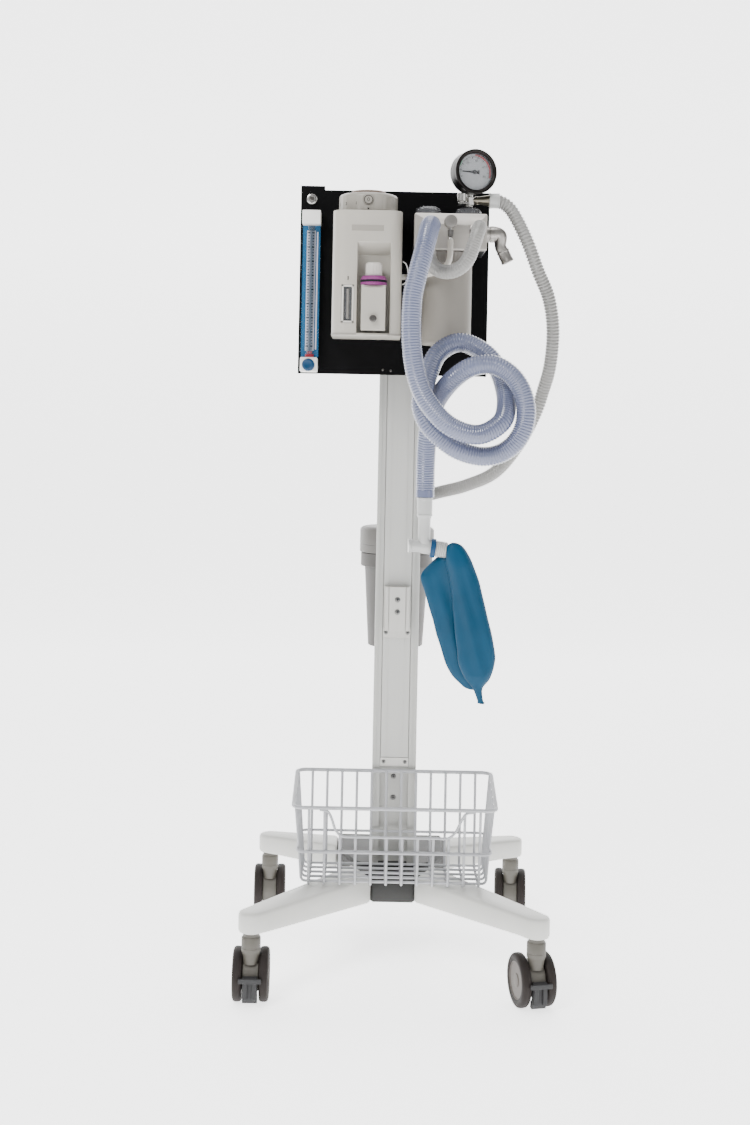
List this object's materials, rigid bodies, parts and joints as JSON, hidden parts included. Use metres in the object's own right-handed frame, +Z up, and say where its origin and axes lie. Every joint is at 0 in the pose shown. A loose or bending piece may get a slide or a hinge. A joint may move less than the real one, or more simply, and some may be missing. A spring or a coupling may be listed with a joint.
{
  "type": "veterinary anesthesia machine",
  "caption": "Trolley-mounted anesthesia machine: flowmeter, vaporizer, valve manifold with absorber, pressure gauge, coiled hose, breathing bag, wire basket and caster base.",
  "frame": {"origin": "on the floor under the middle of the rectangle that the four caster stems stand on, which is the mount floor_contact; the casters trail, so the bounding box reaches 14 mm further back than its middle", "axes": "+Z up along the column; the panel's front and its controls face -Y; +X is to the right of a person facing the machine"},
  "size_m": [0.4599, 0.5479, 1.2182],
  "materials": {
    "leg_paint": "satin powder coat",
    "basket_coating": "light grey coated wire",
    "hub_plastic": "dark grey, satin",
    "caster_plastic": "beige grey, matte",
    "tyre": "dark brown black tread with beige hub disc",
    "pedal_plastic": "dark grey, matte",
    "column_aluminium": "anodised, satin",
    "rail_aluminium": "anodised, satin",
    "black_paint": "black, semi-gloss",
    "clear_plastic": "clear, polished",
    "gauge_glass": "clear, polished",
    "white_plastic": "white, satin",
    "knob_blue": "blue, satin",
    "float_red": "dark red",
    "enamel_grey": "warm light grey enamel, satin",
    "filler_purple": "purple, satin",
    "cap_plastic": "translucent, satin",
    "manifold_aluminium": "warm, brushed",
    "valve_disc_plastic": "white, matte",
    "steel": "polished",
    "needle_black": "black, matte",
    "canister_grey": "warm grey, matte",
    "tube_clear": "clear, yellowish, gloss",
    "hose_blue": "blue tinted, translucent, corrugated",
    "hose_grey": "grey, translucent, corrugated",
    "bag_teal": "teal blue silicone, satin",
    "holder_grey": "mid grey, matte",
    "scavenger_grey": "mid grey, satin"
  },
  "bodies": {
    "frame": {"accessory_rail_block": "rail_aluminium", "bag_collar": "knob_blue", "base_hub": "hub_plastic", "breathing_bag": "bag_teal", "breathing_hose": "hose_blue", "canister_holder": "holder_grey", "channel_cover": "column_aluminium", "column": "column_aluminium", "filler_block": "manifold_aluminium", "flowmeter_base": "white_plastic", "flowmeter_body": "clear_plastic", "fresh_gas_connector": "steel", "fresh_gas_tube": "tube_clear", "gauge_case": "steel", "gauge_lens": "gauge_glass", "leg_front_left": "leg_paint", "leg_front_right": "leg_paint", "leg_rear_left": "leg_paint", "leg_rear_right": "leg_paint", "manifold_block": "manifold_aluminium", "panel": "black_paint", "panel_bracket": "black_paint", "patient_connector": "white_plastic", "relief_tee": "steel", "retaining_loop": "white_plastic", "scavenging_canister": "scavenger_grey", "scavenging_hose": "hose_grey", "sight_glass": "gauge_glass", "supply_hose": "hose_grey", "valve_dome_left": "clear_plastic", "valve_dome_right": "clear_plastic", "vaporizer_body": "enamel_grey", "wire_basket": "basket_coating"},
    "swivel_front_left": {"caster_front_left": "caster_plastic"},
    "roller_front_left_left": {"wheel_front_left_left": "tyre"},
    "roller_front_left_right": {"wheel_front_left_right": "tyre"},
    "pedal_front_left": {"brake_pedal_front_left": "pedal_plastic"},
    "swivel_front_right": {"caster_front_right": "caster_plastic"},
    "roller_front_right_left": {"wheel_front_right_left": "tyre"},
    "roller_front_right_right": {"wheel_front_right_right": "tyre"},
    "pedal_front_right": {"brake_pedal_front_right": "pedal_plastic"},
    "swivel_rear_left": {"caster_rear_left": "caster_plastic"},
    "roller_rear_left_left": {"wheel_rear_left_left": "tyre"},
    "roller_rear_left_right": {"wheel_rear_left_right": "tyre"},
    "swivel_rear_right": {"caster_rear_right": "caster_plastic"},
    "roller_rear_right_left": {"wheel_rear_right_left": "tyre"},
    "roller_rear_right_right": {"wheel_rear_right_right": "tyre"},
    "dial": {"vaporizer_dial": "enamel_grey"},
    "lock_button": {"zero_lock_button": "steel"},
    "filler_ring": {"filler_collar": "filler_purple"},
    "filler_cap": {"filler_plug": "cap_plastic"},
    "drain": {"drain_screw": "steel"},
    "flow_knob": {"flowmeter_knob": "knob_blue"},
    "float": {"flowmeter_float": "float_red"},
    "valve_left": {"valve_disc_left": "valve_disc_plastic"},
    "valve_right": {"valve_disc_right": "valve_disc_plastic"},
    "needle": {"gauge_needle": "needle_black"},
    "relief_knob": {"relief_valve_knob": "steel"},
    "canister": {"absorber_canister": "canister_grey"},
    "elbow": {"outlet_elbow": "steel"}
  },
  "joints": [
    {"name": "swivel_front_left_turn", "type": "hinge", "parent": "frame", "child": "swivel_front_left", "pos_m": [-0.2, -0.2075, 0.09], "axis": [0, 0, 1], "continuous": true},
    {"name": "roller_front_left_left_spin", "type": "hinge", "parent": "swivel_front_left", "child": "roller_front_left_left", "pos_m": [-0.20028, -0.1915, 0.0375], "axis": [0.9998, 0.0175, 0], "continuous": true},
    {"name": "roller_front_left_right_spin", "type": "hinge", "parent": "swivel_front_left", "child": "roller_front_left_right", "pos_m": [-0.20028, -0.1915, 0.0375], "axis": [0.9998, 0.0175, 0], "continuous": true},
    {"name": "pedal_front_left_lift", "type": "hinge", "parent": "swivel_front_left", "child": "pedal_front_left", "pos_m": [-0.19978, -0.2204, 0.044], "axis": [-0.9998, -0.0175, 0], "range_deg": [0, 15]},
    {"name": "swivel_front_right_turn", "type": "hinge", "parent": "frame", "child": "swivel_front_right", "pos_m": [0.2, -0.2075, 0.09], "axis": [0, 0, 1], "continuous": true},
    {"name": "roller_front_right_left_spin", "type": "hinge", "parent": "swivel_front_right", "child": "roller_front_right_left", "pos_m": [0.19613, -0.19198, 0.0375], "axis": [0.9703, 0.2419, 0], "continuous": true},
    {"name": "roller_front_right_right_spin", "type": "hinge", "parent": "swivel_front_right", "child": "roller_front_right_right", "pos_m": [0.19613, -0.19198, 0.0375], "axis": [0.9703, 0.2419, 0], "continuous": true},
    {"name": "pedal_front_right_lift", "type": "hinge", "parent": "swivel_front_right", "child": "pedal_front_right", "pos_m": [0.20312, -0.22002, 0.044], "axis": [-0.9703, -0.2419, 0], "range_deg": [0, 15]},
    {"name": "swivel_rear_left_turn", "type": "hinge", "parent": "frame", "child": "swivel_rear_left", "pos_m": [-0.2, 0.2075, 0.09], "axis": [0, 0, 1], "continuous": true},
    {"name": "roller_rear_left_left_spin", "type": "hinge", "parent": "swivel_rear_left", "child": "roller_rear_left_left", "pos_m": [-0.20056, 0.22349, 0.0375], "axis": [0.9994, 0.0349, 0], "continuous": true},
    {"name": "roller_rear_left_right_spin", "type": "hinge", "parent": "swivel_rear_left", "child": "roller_rear_left_right", "pos_m": [-0.20056, 0.22349, 0.0375], "axis": [0.9994, 0.0349, 0], "continuous": true},
    {"name": "swivel_rear_right_turn", "type": "hinge", "parent": "frame", "child": "swivel_rear_right", "pos_m": [0.2, 0.2075, 0.09], "axis": [0, 0, 1], "continuous": true},
    {"name": "roller_rear_right_left_spin", "type": "hinge", "parent": "swivel_rear_right", "child": "roller_rear_right_left", "pos_m": [0.20112, 0.22346, 0.0375], "axis": [0.9976, -0.0698, 0], "continuous": true},
    {"name": "roller_rear_right_right_spin", "type": "hinge", "parent": "swivel_rear_right", "child": "roller_rear_right_right", "pos_m": [0.20112, 0.22346, 0.0375], "axis": [0.9976, -0.0698, 0], "continuous": true},
    {"name": "dial_turn", "type": "hinge", "parent": "frame", "child": "dial", "pos_m": [-0.056, -0.108, 1.1228], "axis": [0, 0, 1], "range_deg": [0, 230]},
    {"name": "lock_button_press", "type": "slide", "parent": "dial", "child": "lock_button", "axis": [0, 1, 0], "range_m": [0, 0.003], "stiffness_N_per_m": 150},
    {"name": "filler_ring_turn", "type": "hinge", "parent": "frame", "child": "filler_ring", "pos_m": [-0.0462, -0.164, 1.0148], "axis": [0, 0, 1], "range_deg": [0, 720]},
    {"name": "filler_cap_rise", "type": "slide", "parent": "filler_ring", "child": "filler_cap", "axis": [0, 0, 1], "range_m": [0, 0.004]},
    {"name": "drain_turn", "type": "hinge", "parent": "frame", "child": "drain", "pos_m": [-0.0462, -0.1803, 0.966], "axis": [0, -1, 0], "range_deg": [0, 360]},
    {"name": "flow_knob_turn", "type": "hinge", "parent": "frame", "child": "flow_knob", "pos_m": [-0.1402, -0.0823, 0.9018], "axis": [0, -1, 0], "range_deg": [0, 720]},
    {"name": "float_rise", "type": "slide", "parent": "frame", "child": "float", "axis": [0, 0, 1], "range_m": [0, 0.18]},
    {"name": "valve_left_lift", "type": "slide", "parent": "frame", "child": "valve_left", "axis": [0, 0, 1], "range_m": [0, 0.005]},
    {"name": "valve_right_lift", "type": "slide", "parent": "frame", "child": "valve_right", "axis": [0, 0, 1], "range_m": [0, 0.005]},
    {"name": "needle_swing", "type": "hinge", "parent": "frame", "child": "needle", "pos_m": [0.09731, -0.12298, 1.186], "axis": [-0.342, 0.9397, 0], "range_deg": [0, 220], "stiffness_Nm_per_rad": 0.0004},
    {"name": "relief_knob_turn", "type": "hinge", "parent": "frame", "child": "relief_knob", "pos_m": [0.08, -0.1225, 1.1415], "axis": [0, 0, 1], "range_deg": [0, 270]},
    {"name": "canister_turn", "type": "hinge", "parent": "frame", "child": "canister", "pos_m": [0.0613, -0.105, 1.0687], "axis": [0, 0, 1], "range_deg": [0, 40]},
    {"name": "elbow_turn", "type": "hinge", "parent": "frame", "child": "elbow", "pos_m": [0.1155, -0.118, 1.0963], "axis": [1, 0, 0], "range_deg": [-60, 60]}
  ],
  "couplings": [
    {"joint": "filler_cap_rise", "follows": "filler_ring_turn", "m_per_rad": 0.000318},
    {"joint": "float_rise", "follows": "flow_knob_turn", "m_per_rad": 0.0143}
  ]
}
